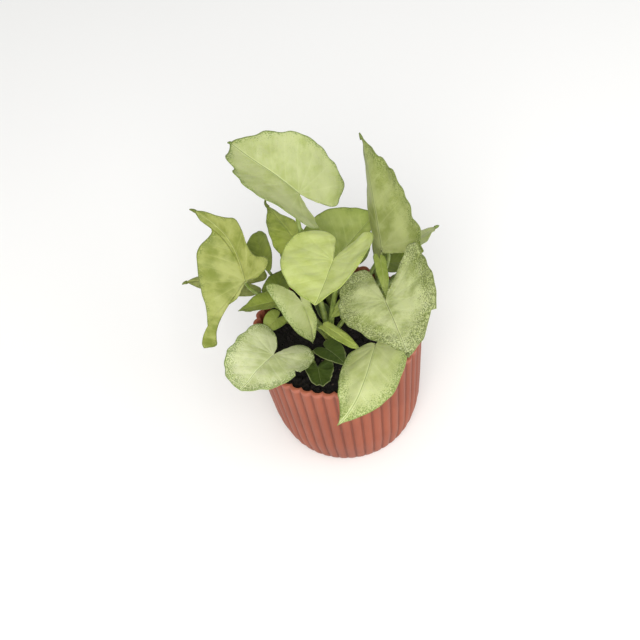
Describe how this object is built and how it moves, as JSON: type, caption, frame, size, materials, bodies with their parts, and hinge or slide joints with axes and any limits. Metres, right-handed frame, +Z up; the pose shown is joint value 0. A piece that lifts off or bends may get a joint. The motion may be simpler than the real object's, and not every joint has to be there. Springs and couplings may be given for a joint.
{
  "type": "potted arrowhead plant",
  "caption": "Small arrowhead plant with pale arrow-shaped leaves on thin stems, growing in a ribbed plastic pot with soil, for standing on a flat surface.",
  "frame": {"origin": "middle of the pot's flat base, on its underside", "axes": "+Z up along the pot's axis, -Y to the pot's front, +X to the right seen from the front"},
  "size_m": [0.1056, 0.1038, 0.1259],
  "materials": {
    "pot": "matte, pinkish terracotta colour",
    "soil": "crumbly, dark",
    "stem": "smooth, olive green",
    "leaf_pale": "soft satin, pale yellow green with speckled green edges",
    "leaf_green": "soft satin, yellow green",
    "leaf_dark": "soft satin, deep green"
  },
  "bodies": {
    "root": {"pot": "pot", "soil": "soil", "shoot_centre_stems": "stem", "shoot_left_stems": "stem", "shoot_right_stems": "stem", "shoot_front_right_stems": "stem", "shoot_front_left_stems": "stem", "shoot_back_stems": "stem", "leaf_top_left": "leaf_pale", "leaf_left_hanging": "leaf_green", "leaf_left_back": "leaf_dark", "leaf_far_left": "leaf_green", "leaf_upper_left": "leaf_dark", "leaf_centre": "leaf_pale", "leaf_upper_middle": "leaf_green", "leaf_tall_right": "leaf_pale", "leaf_right": "leaf_pale", "leaf_front_right": "leaf_pale", "leaf_front_left": "leaf_pale", "leaf_folded_left": "leaf_pale", "leaf_small_left": "leaf_green", "leaf_low_left": "leaf_green", "leaf_narrow_middle": "leaf_green", "leaf_low_middle": "leaf_dark", "leaf_round_front": "leaf_dark", "leaf_far_right": "leaf_green", "leaf_inner_right": "leaf_green", "leaf_right_back": "leaf_green", "leaf_inner_low": "leaf_green", "leaf_inner_centre": "leaf_green", "leaf_inner_small": "leaf_dark", "leaf_inner_left": "leaf_dark", "leaf_back_left": "leaf_green", "leaf_back_right": "leaf_green", "leaf_back_low": "leaf_dark"}
  },
  "joints": []
}
